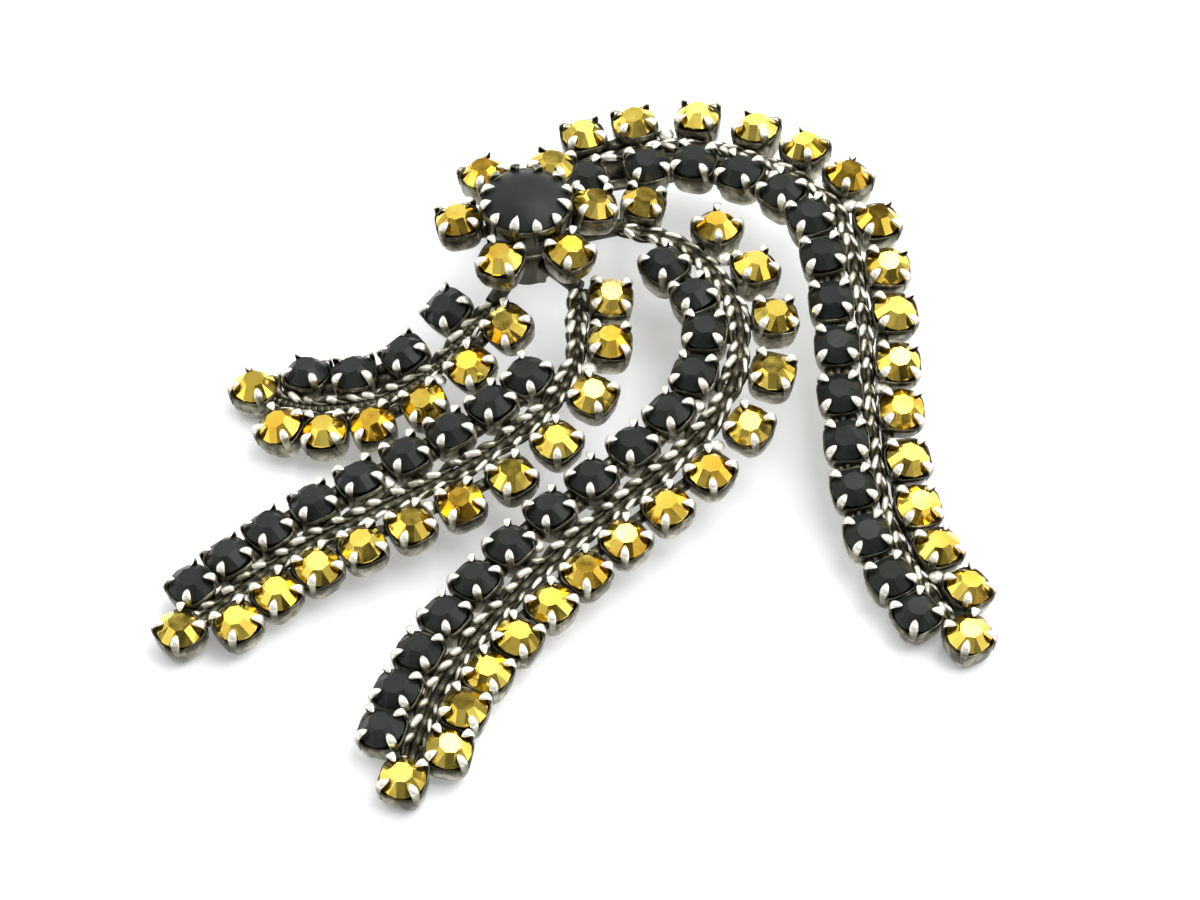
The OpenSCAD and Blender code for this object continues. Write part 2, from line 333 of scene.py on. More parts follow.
def flower_centre():
    """Middle of the centre stone's widest line, from its CAD solid."""
    low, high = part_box("centre_stone")
    middle = (low + high) / 2
    return Vector((middle.x, middle.y, high.z - bpy.context.scene.brooch_stones.dome))


def petal_turns():
    """Turn of each petal about the flower's axis."""
    return [Matrix.Rotation(PETAL_TURN + 2 * math.pi / PETALS * i, 4, "Z") for i in range(PETALS)]


def petal_seats():
    """Place of each petal's stone."""
    centre = Matrix.Translation(flower_centre())
    out = Matrix.Translation((PETAL_RING, 0, -PETAL_DROP))
    lean = Matrix.Rotation(PETAL_LEAN, 4, "Y")
    return [centre @ turn @ out @ lean for turn in petal_turns()]


def check_seats(node, seats):
    """Stops the script where the repeated route no longer fits the CAD solids."""
    low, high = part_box(node)
    middle = (low + high) / 2
    for axis in range(3):
        places = [seat.translation[axis] for seat in seats]
        if abs((min(places) + max(places)) / 2 - middle[axis]) > SEAT_TOLERANCE:
            raise RuntimeError(f"{node} isn't where its stones are set")


# Meshes


def finish_faces(bm, smooth=True):
    """Turns the faces outwards and sets their shading."""
    bmesh.ops.recalc_face_normals(bm, faces=bm.faces)
    for face in bm.faces:
        face.smooth = smooth


def as_mesh(bm, name, smooth=True):
    """Hands a template over as a mesh."""
    finish_faces(bm, smooth)
    mesh = bpy.data.meshes.new(name)
    bm.to_mesh(mesh)
    bm.free()
    return mesh


def polish_and_highlight_layer(bm):
    """Layer that says how polished the metal is at each vertex, from 0 to 1, painted highlights and
    reflections included.
    """
    return bm.verts.layers.float.get("polish_and_highlight") or bm.verts.layers.float.new("polish_and_highlight")


def shine(bm, value):
    """Writes how polished the metal is, painted highlights and reflections included. value is a number or a
    function of a place.
    """
    layer = polish_and_highlight_layer(bm)
    for v in bm.verts:
        v[layer] = value(v.co) if callable(value) else value


def bevel(bm, edges, offset, segments):
    """Rounds edges."""
    bmesh.ops.bevel(
        bm, geom=edges, offset=offset, segments=segments, profile=0.5, affect="EDGES", material=-1
    )


def uprights(bm, rise):
    """Edges that rise by more than a given height."""
    return [e for e in bm.edges if abs(e.verts[0].co.z - e.verts[1].co.z) > rise]


def edges_at(verts):
    """Edges at some vertices, each once and in the same order at every run."""
    return list(dict.fromkeys(e for v in verts for e in v.link_edges))


def add_copies(bm, template, seats):
    """Adds a copy of a template at each seat."""
    for seat in seats:
        copy = template.copy()
        copy.transform(seat)
        bm.from_mesh(copy)
        bpy.data.meshes.remove(copy)


def make_piece(name, bm, material, nodes):
    """Turns a bmesh into a piece of the brooch that takes the place of CAD nodes."""
    mesh = bpy.data.meshes.new(name)
    bm.to_mesh(mesh)
    bm.free()
    mesh.materials.append(material)
    piece = bpy.data.objects.new(name, mesh)
    bpy.context.collection.objects.link(piece)
    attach(piece, "root")
    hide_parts(*nodes)


def cut_stone_template():
    """Round stone with an eight-sided table, eight wide facets and eight narrow ones."""
    sizes = bpy.context.scene.brooch_stones
    half_crown = sizes.crown / 2
    bm = bmesh.new()
    bmesh.ops.create_cone(
        bm, cap_ends=True, segments=16, radius1=sizes.radius, radius2=sizes.table, depth=sizes.crown
    )
    bmesh.ops.translate(bm, verts=bm.verts, vec=(0, 0, half_crown))
    # Every second side of the table closes up, which leaves eight corners
    ring = sorted((v for v in bm.verts if v.co.z > half_crown), key=lambda v: math.atan2(v.co.y, v.co.x))
    for a, b in zip(ring[0::2], ring[1::2]):
        middle = (a.co + b.co) / 2
        reach = sizes.table / middle.to_2d().length
        corner = Vector((middle.x * reach, middle.y * reach, middle.z))
        bmesh.ops.pointmerge(bm, verts=[a, b], merge_co=corner)
    # The girdle and the point below it
    foot = [f for f in bm.faces if all(v.co.z < half_crown for v in f.verts)]
    band = bmesh.ops.extrude_face_region(bm, geom=foot)
    verts = [g for g in band["geom"] if isinstance(g, bmesh.types.BMVert)]
    bmesh.ops.translate(bm, verts=verts, vec=(0, 0, -sizes.girdle))
    bmesh.ops.delete(bm, geom=foot, context="FACES_ONLY")
    low = [f for f in bm.faces if all(v in verts for v in f.verts)]
    point = bmesh.ops.poke(bm, faces=low)["verts"][0]
    point.co.z = -sizes.pavilion
    return as_mesh(bm, "cut_stone_template", smooth=False)


def claw_template(reach, foot, top, tip, width, thickness, blunt, dull=0.22, bright=1.0):
    """Leaf-shaped claw in the x-z plane, up the outside of a cup and over the stone's edge.

    reach is the cup's outside, foot and top the claw's lowest and highest points, tip where it ends
    over the stone. Its end is round where blunt is 0.5 and drawn out where it is 1. dull and bright
    are how light its stem and its end are painted; the bright end is a painted highlight.
    """
    widest = 0.6
    highlight_from = 0.47
    highlight_over = 0.15
    bm = bmesh.new()
    bmesh.ops.create_cube(bm, size=1)
    bevel(bm, uprights(bm, 0.5), 0.4, 3)
    bmesh.ops.subdivide_edges(bm, edges=uprights(bm, 0.5), cuts=8, use_grid_fill=True)
    # Control points of the curve that the claw's middle follows
    a = Vector((reach - 0.14 * MM, foot))
    b = Vector((reach + 0.12 * MM, top * 0.7))
    c = Vector((reach - 0.05 * MM, top * 1.5))
    d = Vector(tip)
    polish_and_highlight = polish_and_highlight_layer(bm)
    for v in bm.verts:
        t = math.sin((v.co.z + 0.5) * math.pi / 2)
        centre = a * (1 - t) ** 3 + b * 3 * t * (1 - t) ** 2 + c * 3 * t * t * (1 - t) + d * t**3
        way = (b - a) * 3 * (1 - t) ** 2 + (c - b) * 6 * t * (1 - t) + (d - c) * 3 * t * t
        side = Vector((way.y, -way.x)).normalized()
        if t < widest:
            swell = 0.5 + 0.5 * math.sin(math.pi / 2 * t / widest)
        else:
            swell = max((1 - ((t - widest) / (1 - widest)) ** 2) ** blunt, 0.12)
        place = centre + side * v.co.x * thickness * (0.3 + 0.7 * swell)
        v.co = (place.x, v.co.y * width * swell, place.y)
        # Painted bright where it bends over the stone, a painted highlight, and darker on the stem below
        v[polish_and_highlight] = dull + (bright - dull) * min(max((t - highlight_from) / highlight_over, 0), 1)
    return as_mesh(bm, "claw_template")


def cup_template(depth):
    """Square cup with round corners, a hollow for the stone and a claw at each corner."""
    metal = bpy.context.scene.brooch_metal
    rim = -metal.cup_rim
    side = metal.cup_side
    draw_in = 0.12
    bm = bmesh.new()
    bmesh.ops.create_cube(bm, size=1)
    bmesh.ops.scale(bm, verts=bm.verts, vec=(side, side, depth + rim))
    bmesh.ops.translate(bm, verts=bm.verts, vec=(0, 0, (rim - depth) / 2))
    bevel(bm, uprights(bm, MM), metal.cup_corner, 5)
    foot = [e for e in bm.edges if all(v.co.z < -depth + TINY for v in e.verts)]
    bevel(bm, foot, 0.6 * MM, 3)
    bmesh.ops.subdivide_edges(bm, edges=uprights(bm, MM), cuts=2, use_grid_fill=True)
    # The walls draw in towards the foot
    for v in bm.verts:
        down = min(max(-v.co.z / depth, 0), 1)
        v.co.x *= 1 - draw_in * down**2
        v.co.y *= 1 - draw_in * down**2
    lid = [f for f in bm.faces if all(v.co.z > rim - TINY for v in f.verts)]
    bmesh.ops.inset_region(bm, faces=lid, thickness=metal.cup_wall, use_even_offset=True)
    bmesh.ops.inset_region(bm, faces=lid, thickness=0.12 * MM, depth=-1.2 * MM, use_even_offset=True)
    # Dark at the rim, and lighter further down the wall, a painted reflection of the pale floor
    shine(bm, lambda co: 0.1 if co.z > rim - TINY else 0.05 + 0.4 * min(-co.z / depth, 1))
    claw = claw_template(
        reach=side / 2 * math.sqrt(2) - metal.cup_corner * (math.sqrt(2) - 1) + 0.06 * MM,
        foot=-1.4 * MM,
        top=0.8 * MM,
        tip=(1.32 * MM, 0.82 * MM),
        width=metal.claw_width,
        thickness=metal.claw_thickness,
        blunt=0.5,
    )
    corners = [Matrix.Rotation(math.radians(45 + 90 * i), 4, "Z") for i in range(4)]
    add_copies(bm, claw, corners)
    return as_mesh(bm, "cup_template")


def add_rod(bm, a, b, radius, segments=10):
    """Straight round rod from place a to place b."""
    turn = (b - a).to_track_quat("Z", "Y").to_matrix().to_4x4()
    bmesh.ops.create_cone(
        bm,
        cap_ends=True,
        segments=segments,
        radius1=radius,
        radius2=radius,
        depth=(b - a).length,
        matrix=Matrix.Translation((a + b) / 2) @ turn,
    )


def add_block(bm, a, b, round_by):
    """Block from corner a to corner b with softened edges."""
    a, b = Vector(a), Vector(b)
    size = Matrix.Diagonal((*(b - a), 1))
    made = bmesh.ops.create_cube(bm, size=1, matrix=Matrix.Translation((a + b) / 2) @ size)
    bevel(bm, edges_at(made["verts"]), round_by, 2)


# Streamers


def add_strand(bm, route, side, phase, size, depth):
    """One strand of a twisted wire beside the spine, swept ring by ring, with a painted highlight on the
    top of each turn.
    """
    metal = bpy.context.scene.brooch_metal
    polish_and_highlight = polish_and_highlight_layer(bm)
    end = route.wires_end()
    steps_in_turn = 12
    steps = int(end / (metal.lay / steps_in_turn))
    radius = metal.strand * size
    off_axis = radius * 0.65
    # The wire stays clear of the cups, within these distances from the spine
    from_cups = 0.35 * MM
    nearest = 0.25 * MM
    farthest = 0.7 * MM
    upright = Matrix.Rotation(math.radians(90), 4, "Y")
    ring = None
    for k in range(steps + 1):
        way = end * k / steps
        groove = (route.width(way) - metal.cup_side) / 2
        spread = side * min(max(groove - from_cups, nearest), farthest)
        # The wires are twisted and laid by hand, so their line and their turns vary a little
        spread += 0.1 * MM * math.sin(way / MM * 0.9 - side)
        uneven = 0.45 * math.sin(way / MM * 0.53 + phase)
        turn = phase - side * 2 * math.pi * way / metal.lay + uneven
        helix = Vector((0, math.cos(turn), math.sin(turn))) * off_axis
        # Rubbed and pressed flat, the turns look like a row of beads
        bead = Matrix.Scale(0.8 + 0.24 * math.sin(turn), 4)
        centre = route.seat(way) @ Matrix.Translation((0, spread, -depth))
        seat = centre @ Matrix.Translation(helix) @ upright @ bead
        # The top of each turn is painted bright as a highlight, stronger in some places along the wire than
        # in others
        worn = 0.75 + 0.35 * math.sin(way / MM * 1.7 + 2 * phase)
        crest_highlight = min(max((math.sin(turn) - 0.55) / 0.2, 0), 1) * min(worn, 1)
        if ring is None:
            made = bmesh.ops.create_circle(bm, cap_ends=True, segments=8, radius=radius, matrix=seat)
            ring = made["verts"]
            edges = edges_at(ring)
        else:
            made = bmesh.ops.extrude_edge_only(bm, edges=edges)["geom"]
            ring = [g for g in made if isinstance(g, bmesh.types.BMVert)]
            edges = [g for g in made if isinstance(g, bmesh.types.BMEdge)]
            edges = [e for e in edges if all(v in ring for v in e.verts)]
            bmesh.ops.transform(bm, matrix=seat @ last.inverted(), verts=ring)
        for v in ring:
            v[polish_and_highlight] = crest_highlight
        last = seat
    bmesh.ops.edgeloop_fill(bm, edges=edges)


def add_wires(bm, route):
    """Two twisted wires, the one beside the black row thicker and higher, and their core."""
    metal = bpy.context.scene.brooch_metal
    for side, size, depth in ((LEFT, 0.72, 1.05 * MM), (RIGHT, 1.0, 0.8 * MM)):
        for phase in (0, math.pi):
            add_strand(bm, route, side, phase, size, depth)
    drop = Vector((0, 0, -1.2 * MM))
    ways = [route.wires_end() * k / CORE_RODS for k in range(CORE_RODS + 1)]
    for a, b in zip(ways, ways[1:]):
        add_rod(bm, route.at(a).to_3d() + drop, route.at(b).to_3d() + drop, metal.core, 8)


def add_root(bm, route):
    """Rod from the spine in under the flower, a little way into the post."""
    metal = bpy.context.scene.brooch_metal
    post = flower_centre()
    start = route.at(0).to_3d() - Vector((0, 0, 0.7 * MM))
    inward = Vector((post.x, post.y, start.z)) - start
    run = inward.length - metal.post + 0.2 * MM
    add_rod(bm, start, start + inward.normalized() * run, metal.root)


def add_struts(bm, name, route):
    """Rods from the spine to each cup."""
    metal = bpy.context.scene.brooch_metal
    foot = Vector((0, 0, -metal.cup_depth / 2))
    for row, side in ROWS:
        for way in row_ways(name, row):
            seat = route.seat(way)
            reach = side * (route.width(way) / 2 - metal.cup_side / 2 + 0.5 * MM)
            add_rod(bm, seat @ foot, seat @ (foot + Vector((0, reach, 0))), metal.strut, 8)


def add_links(bm, name):
    """Dark wires that join each cup to the next where the gap is short."""
    metal = bpy.context.scene.brooch_metal
    end = 1.7 * MM
    down = -1.2 * MM
    for row, side in ROWS:
        # Two between black cups, one on the spine's side between gold cups
        places = (-0.75 * MM, 0.75 * MM) if row == "black" else (-1.3 * MM * side,)
        seats = row_seats(name, row, side)
        for a, b in zip(seats, seats[1:]):
            if (b.translation - a.translation).length > metal.short_gap:
                continue
            for place in places:
                add_rod(bm, a @ Vector((end, place, down)), b @ Vector((-end, place, down)), metal.link, 8)


def add_solder(bm, name, route):
    """Rounds of solder that have run between some cups."""
    radius = bpy.context.scene.brooch_metal.solder
    flat = Matrix.Diagonal((1, 1, 0.7, 1))
    polish_and_highlight = polish_and_highlight_layer(bm)
    for row, side in ROWS:
        half_step = STREAMERS[name][row][1] / 2 * MM
        for i, way in enumerate(row_ways(name, row)[:-1]):
            if (3 * i + side) % 4 != 0:
                continue
            beside = Vector((0, side * (route.width(way) / 2 - 1.6 * MM), -0.8 * MM))
            place = Matrix.Translation(route.seat(way + half_step) @ beside)
            made = bmesh.ops.create_icosphere(bm, subdivisions=2, radius=radius, matrix=place @ flat)
            for v in made["verts"]:
                v[polish_and_highlight] = 0.85


# Flower


def dome_stone(radius):
    """Large stone with a low dome and a flat foot, about the flower's middle."""
    height = bpy.context.scene.brooch_stones.dome
    below = 1.2 * MM
    fullness = 2.6
    bm = bmesh.new()
    bmesh.ops.create_uvsphere(bm, u_segments=64, v_segments=48, radius=radius)
    lower_half = [v for v in bm.verts if v.co.z < -TINY]
    bmesh.ops.delete(bm, geom=lower_half, context="VERTS")
    for v in bm.verts:
        v.co.z = height * (1 - (v.co.to_2d().length / radius) ** fullness)
    rim = [e for e in bm.edges if e.is_boundary]
    foot = bmesh.ops.extrude_edge_only(bm, edges=rim)["geom"]
    verts = [g for g in foot if isinstance(g, bmesh.types.BMVert)]
    bmesh.ops.translate(bm, verts=verts, vec=(0, 0, -below))
    bmesh.ops.holes_fill(bm, edges=[g for g in foot if isinstance(g, bmesh.types.BMEdge)], sides=0)
    finish_faces(bm)
    for face in bm.faces:
        face.smooth = face.normal.z > -0.9
    return bm


def add_collar(bm, radius):
    """Collar round the centre stone, spun round the flower's axis, with a bead near its foot."""
    depth = bpy.context.scene.brooch_metal.collar
    bead = 0.75 * MM - depth
    # Columns: distance from the axis, height above the stone's edge
    profile = (
        (radius - 1.5 * MM, -depth),
        (radius - 0.9 * MM, -depth + 0.15 * MM),
        (radius - 0.9 * MM, -depth + 0.6 * MM),
        (radius - 0.6 * MM, bead),
        (radius - 0.75 * MM, -depth + 0.9 * MM),
        (radius - 0.35 * MM, -depth / 2),
        (radius, -0.9 * MM),
        (radius + 0.05 * MM, -0.1 * MM),
        (radius - 0.22 * MM, -0.05 * MM),
        (radius - 0.27 * MM, -1.2 * MM),
        (0, -1.25 * MM),
    )
    line = [bm.verts.new((x, 0, z)) for x, z in profile]
    edges = [bm.edges.new(pair) for pair in zip(line, line[1:])]
    bmesh.ops.spin(
        bm,
        geom=[*line, *edges],
        cent=(0, 0, 0),
        axis=(0, 0, 1),
        angle=2 * math.pi,
        steps=64,
        use_merge=True,
    )
    bmesh.ops.remove_doubles(bm, verts=bm.verts, dist=TINY / 10)
    bmesh.ops.holes_fill(bm, edges=[e for e in bm.edges if e.is_boundary], sides=0)

    def polish_and_highlight(co):
        """A painted highlight along the bead, and dark elsewhere, a little less so at the rim."""
        if abs(co.z - bead) < TINY:
            return 0.8
        return 0.08 if co.z > -0.3 * MM else -0.1

    shine(bm, polish_and_highlight)


def add_prongs(bm, radius, collar):
    """Prongs round the centre stone, with a painted highlight on each end that is dimmer on those behind
    it.
    """
    count = bpy.context.scene.brooch_metal.prongs
    for i in range(count):
        turn = 2 * math.pi / count * (i + 0.5)
        # How far each of three prongs is bent over the dome
        over = (0.6, 0.5, 0.95)[i % 3] * MM
        prong = claw_template(
            reach=collar + 0.08 * MM,
            foot=-2.1 * MM,
            top=0.55 * MM,
            tip=(radius - over, 0.55 * MM + over * 0.45),
            width=0.94 * MM,
            thickness=0.36 * MM,
            blunt=0.8,
            dull=0.0,
            # The painted highlight is dimmer on the prongs behind the stone, away from the camera
            bright=1.0 - 0.75 * max(math.sin(turn), 0),
        )
        add_copies(bm, prong, [Matrix.Rotation(turn, 4, "Z")])


def add_post_and_arms(bm, foot, collar):
    """Post down to foot, and an arm from the collar to each petal."""
    metal = bpy.context.scene.brooch_metal
    arm_height = -3.6 * MM
    top = Vector((0, 0, 0.3 * MM - metal.collar))
    add_rod(bm, Vector((0, 0, foot)), top, metal.post, 32)
    for turn in petal_turns():
        start = turn @ Vector((collar - 1.4 * MM, 0, arm_height))
        add_rod(bm, start, turn @ Vector((PETAL_RING - 1.5 * MM, 0, arm_height)), 0.6 * MM)


# Pin, in its own axes: x from the hinge to the catch, y across the plate, z from the surface up


def add_plate(bm, under, top):
    """Plate with the hinge's block and ears, and the wire's coil between them."""
    pin = bpy.context.scene.brooch_pin
    half = pin.length / 2
    wide = pin.width / 2
    block_top = 2.4 * MM
    ear_foot = 2 * MM
    half_ear = 0.35 * MM
    axle_reach = 1.4 * MM
    coil_radius = 0.95 * MM
    coil_turn = 0.55 * MM
    add_block(bm, (-half, -wide, under), (half, wide, top), 0.25 * MM)
    add_block(bm, (-half, -wide, 0), (-half + pin.hinge, wide, block_top), 0.3 * MM)
    for side in (-1, 1):
        ear = side * (wide - half_ear - INSET)
        low_corner = (-half + INSET, ear - half_ear, ear_foot)
        high_corner = (-half + pin.hinge - INSET, ear + half_ear, under + 0.2 * MM)
        add_block(bm, low_corner, high_corner, 0.2 * MM)
    axis = Vector((0, 1, 0))
    middle = Vector((-half + pin.hinge / 2, 0, pin.height))
    add_rod(bm, middle - axis * axle_reach, middle + axis * axle_reach, pin.wire, 16)
    for k in (-1, 0, 1):
        start = middle + axis * (k - 0.4) * coil_turn
        add_rod(bm, start, middle + axis * (k + 0.4) * coil_turn, coil_radius, 20)


def add_pin_wire(bm):
    """Wire from the hinge, drawn out to a point over the catch."""
    pin = bpy.context.scene.brooch_pin
    half = pin.length / 2
    taper = half - pin.hinge - 1.5 * MM
    tip = half - 0.3 * MM
    point_radius = 0.08 * MM
    start = Vector((-half + pin.hinge / 2, 0, pin.height))
    add_rod(bm, start, Vector((taper, 0, pin.height)), pin.wire, 16)
    place = Matrix.Translation(((tip + taper) / 2, 0, pin.height))
    bmesh.ops.create_cone(
        bm,
        cap_ends=True,
        segments=16,
        radius1=pin.wire,
        radius2=point_radius,
        depth=tip - taper,
        matrix=place @ Matrix.Rotation(math.pi / 2, 4, "Y"),
    )


def add_catch(bm, under):
    """Open ring under the plate."""
    pin = bpy.context.scene.brooch_pin
    place = pin.length / 2 - pin.hinge / 2
    size = Matrix.Diagonal((1.6 * MM, 0.5 * MM, 0.45 * MM, 1))
    verts = bmesh.ops.create_cube(bm, size=1, matrix=size)["verts"]
    start = [f for f in bm.faces if all(v in verts for v in f.verts) and f.normal.y > 0.5]
    bmesh.ops.transform(bm, matrix=Matrix.Translation((place, 0, under - 0.6 * MM)), verts=verts)
    bmesh.ops.spin(
        bm,
        geom=start,
        cent=(place, 0, pin.height + 0.15 * MM),
        axis=(-1, 0, 0),
        angle=math.radians(235),
        steps=16,
    )


def add_tongue(bm, front, under, top):
    """Strip from the plate in under the flower, with the leg that stands on the surface."""
    pin = bpy.context.scene.brooch_pin
    post = flower_centre()
    meet = pin.middle_y + (post.x - pin.middle_x) * math.tan(pin.turn)
    half = pin.tongue / 2
    add_block(bm, (post.x - half, front, under + INSET), (post.x + half, meet, top - INSET), 0.25 * MM)
    half -= INSET
    high_corner = (post.x + half, pin.leg + half, under + 0.2 * MM)
    add_block(bm, (post.x - half, pin.leg - half, 0), high_corner, 0.3 * MM)


# Materials


class Nodes:
    """Short way to add and join the nodes of a material or world."""

    def __init__(self, owner):
        owner.use_nodes = True
        self.owner = owner
        self.tree = owner.node_tree
        self.shader = self.tree.nodes.get("Principled BSDF") or self.tree.nodes["Background"]

    def add(self, kind, inputs=None, **settings):
        """Adds a node. An input is a value or another node's socket."""
        node = self.tree.nodes.new(kind)
        for key, value in settings.items():
            setattr(node, key, value)
        for key, value in (inputs or {}).items():
            if isinstance(value, bpy.types.NodeSocket):
                self.tree.links.new(value, node.inputs[key])
            else:
                node.inputs[key].default_value = value
        return node

    def link(self, out, socket):
        """Joins a socket to one of the shader's."""
        self.tree.links.new(out, self.shader.inputs[socket])

    def set(self, socket, value):
        """Sets one of the shader's own values."""
        self.shader.inputs[socket].default_value = value

    def noise(self, scale, detail=3.0, roughness=0.5):
        """Noise on the piece's own coordinates."""
        place = self.add("ShaderNodeTexCoord").outputs["Object"]
        inputs = {"Vector": place, "Scale": scale, "Detail": detail, "Roughness": roughness}
        return self.add("ShaderNodeTexNoise", inputs).outputs["Fac"]

    def between(self, value, low, high, to_low=0.0, to_high=1.0, **settings):
        """A value from one range carried to another."""
        inputs = {"Value": value, "From Min": low, "From Max": high, "To Min": to_low, "To Max": to_high}
        return self.add("ShaderNodeMapRange", inputs, **settings).outputs["Result"]

    def maths(self, operation, a, b):
        """Result of an operation on two values."""
        return self.add("ShaderNodeMath", {0: a, 1: b}, operation=operation).outputs[0]

    def mix(self, factor, a, b):
        """Colour between a and b, which are colours or sockets."""
        return self.add("ShaderNodeMix", {0: factor, 6: a, 7: b}, data_type="RGBA").outputs[2]


def rgba(value, level=1.0):
    """A colour made darker or lighter, with its alpha."""
    return (*(channel * level for channel in value), 1.0)


def gold_coating():
    """Metallic coating on cut glass, a little uneven, darker and more orange on some stones."""
    n = Nodes(bpy.data.materials.new("gold_coating"))
    colours = bpy.context.scene.brooch_colours
    warm = [channel * level for channel, level in zip(colours.gold, (0.95, 0.88, 0.7))]
    coating = n.mix(n.between(n.noise(420.0, 2.0), 0.35, 0.65), rgba(colours.gold), rgba(warm))
    some = n.between(n.noise(140.0, 1.0), 0.5, 0.64, 0.0, 0.8)
    n.link(n.mix(some, coating, rgba(colours.amber)), "Base Color")
    n.link(n.between(n.noise(900.0, 4.0), 0.3, 0.7, 0.1, 0.2), "Roughness")
    n.set("Metallic", 1.0)
    return n.owner


def black_glass(name, rough_low, rough_high):
    """Satin black glass."""
    n = Nodes(bpy.data.materials.new(name))
    black = bpy.context.scene.brooch_colours.black
    cloud = n.between(n.noise(350.0, 4.0), 0.3, 0.7)
    n.link(n.mix(cloud, rgba(black, 0.75), rgba(black, 1.35)), "Base Color")
    n.link(n.between(n.noise(1500.0, 3.0), 0.3, 0.7, rough_low, rough_high), "Roughness")
    n.set("Specular IOR Level", 0.25)
    return n.owner


def antiqued_silver():
    """Plating that is polished where it stands out and dark in the recesses, with painted highlights and a
    painted floor reflection from its polish layer.
    """
    n = Nodes(bpy.data.materials.new("antiqued_silver"))
    colours = bpy.context.scene.brooch_colours
    # The polish layer holds real polish together with painted highlights and reflections; it lifts the
    # colour from patina to silver
    polish_and_highlight = n.add("ShaderNodeAttribute", attribute_name="polish_and_highlight").outputs["Fac"]
    open_air = n.add("ShaderNodeAmbientOcclusion", {"Distance": 1.2 * MM}, samples=8).outputs["AO"]
    worn = n.between(n.noise(700.0, 5.0, 0.6), 0.35, 0.65, -0.22, 0.17)
    level = n.maths("ADD", n.maths("MULTIPLY", polish_and_highlight, n.between(open_air, 0.15, 0.7)), worn)
    level = n.between(level, 0.1, 0.65)
    ramp = n.add("ShaderNodeValToRGB", {0: level})
    stops = ramp.color_ramp.elements
    stops[0].color = rgba(colours.patina)
    stops[1].color = rgba(colours.silver)
    stops.new(0.45).color = rgba(colours.dull)
    n.link(ramp.outputs["Color"], "Base Color")
    n.link(n.between(level, 0.0, 1.0, 0.95, 0.6), "Metallic")
    n.link(n.between(level, 0.0, 1.0, 0.35, 0.3), "Roughness")
    bump = {"Height": n.noise(1300.0, 4.0), "Strength": 0.25, "Distance": 0.05 * MM}
    n.link(n.add("ShaderNodeBump", bump).outputs["Normal"], "Normal")
    return n.owner


def floor_paint():
    """Pale matt surface with a little light coming up through it."""
    n = Nodes(bpy.data.materials.new("pale_surface"))
    floor = bpy.context.scene.brooch_colours.floor
    n.link(n.mix(n.noise(8.0, 2.0), rgba(floor), rgba(floor, 1.01)), "Base Color")
    n.set("Emission Color", (1.0, 1.0, 1.0, 1.0))
    n.set("Emission Strength", bpy.context.scene.brooch_stage.glow)
    n.set("Roughness", 0.6)
    n.set("Specular IOR Level", 0.2)
    return n.owner


# Stage


def lay_floor():
    """Wide pale surface under the brooch."""
    bm = bmesh.new()
    bmesh.ops.create_grid(bm, x_segments=1, y_segments=1, size=1.5)
    mesh = bpy.data.meshes.new("pale_floor")
    bm.to_mesh(mesh)
    bm.free()
    mesh.materials.append(floor_paint())
    floor = bpy.data.objects.new("pale_floor", mesh)
    bpy.context.collection.objects.link(floor)


def hang_softbox():
    """Wide soft light over the brooch, a little to its right."""
    light = bpy.data.lights.new("top_softbox", "AREA")
    light.shape = "RECTANGLE"
    light.size = 0.54
    light.size_y = 0.46
    light.energy = bpy.context.scene.brooch_stage.watts
    lamp = bpy.data.objects.new("top_softbox", light)
    lamp.location = (0.24, 0.0, 0.58)
    lamp.rotation_euler = (-lamp.location).to_track_quat("-Z", "Y").to_euler()
    bpy.context.collection.objects.link(lamp)


def light_room():
    """Room with a dark side behind the camera, a dark horizon and uneven patches of light."""
    stage = bpy.context.scene.brooch_stage
    n = Nodes(bpy.data.worlds.new("studio"))
    way = n.add("ShaderNodeTexCoord").outputs["Generated"]
    dark_way = (0.0, -math.cos(stage.dark_height), math.sin(stage.dark_height))
    toward = n.add("ShaderNodeVectorMath", {0: way, 1: dark_way}, operation="DOT_PRODUCT").outputs["Value"]
    fade = n.between(toward, 0.3, 0.92, stage.bright, stage.dark, interpolation_type="SMOOTHSTEP")
    height = n.add("ShaderNodeSeparateXYZ", {0: way}).outputs["Z"]
    room = n.maths("MULTIPLY", fade, n.between(height, 0.05, 0.4, 0.42, 1.0))
    patches = n.add("ShaderNodeTexNoise", {"Vector": way, "Scale": 5.0, "Detail": 1.0}).outputs["Fac"]
    n.link(n.maths("MULTIPLY", room, n.between(patches, 0.43, 0.57, 0.05, 1.5)), "Strength")
    n.set("Color", (0.99, 1.0, 0.99, 1.0))
    bpy.context.scene.world = n.owner


def set_camera():
    """Camera at the photo's angle."""
    stage = bpy.context.scene.brooch_stage
    aim = Vector((2 * MM, 0, 4 * MM))
    back = Vector((0, -math.cos(stage.elevation), math.sin(stage.elevation)))
    lens = bpy.data.cameras.new("photo_camera")
    lens.lens = stage.lens
    lens.clip_start = 0.01
    camera = bpy.data.objects.new("photo_camera", lens)
    camera.location = aim + back * stage.distance
    camera.rotation_euler = (-back).to_track_quat("-Z", "Y").to_euler()
    bpy.context.collection.objects.link(camera)
    bpy.context.scene.camera = camera


# Operators


class BROOCH_OT_gold_stones(bpy.types.Operator):
    """Builds the gold stones of the streamers and the flower's petals"""

    bl_idname = "brooch.gold_stones"
    bl_label = "Gold stones"

    def execute(self, context):
        stone = cut_stone_template()
        material = gold_coating()
        for name in STREAMERS:
            seats = [*row_seats(name, "gold", LEFT), tip_seat(name)]
            node = f"{name}_gold_stones"
            check_seats(node, seats)
            bm = bmesh.new()
            add_copies(bm, stone, set_by_hand(seats))
            make_piece(f"{name}_gold_cut_stones", bm, material, [node])
        bm = bmesh.new()
        add_copies(bm, stone, set_by_hand(petal_seats()))
        make_piece("petal_cut_stones", bm, material, ["petal_stones"])
        return {"FINISHED"}


